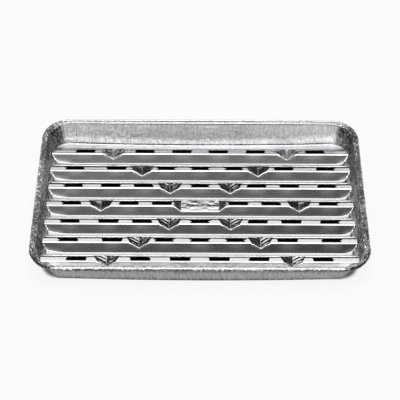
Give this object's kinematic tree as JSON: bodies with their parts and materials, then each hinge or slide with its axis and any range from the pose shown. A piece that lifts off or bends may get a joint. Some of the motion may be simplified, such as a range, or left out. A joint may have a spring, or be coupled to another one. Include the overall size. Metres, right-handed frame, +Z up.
{
  "type": "grill tray",
  "caption": "Shallow rectangular foil tray with leaning walls and a rolled rim; its floor is folded into parallel ridges with drip slots and pressed notches",
  "frame": {"origin": "middle of the tray at the level of the surface it stands on", "axes": "+X along the ridges, -Y the front long side, +Z up"},
  "size_m": [0.345, 0.23, 0.026],
  "materials": {
    "foil": "bright rolled foil with fine wrinkles on the walls"
  },
  "bodies": {
    "root": {"tray": "foil"}
  },
  "joints": []
}
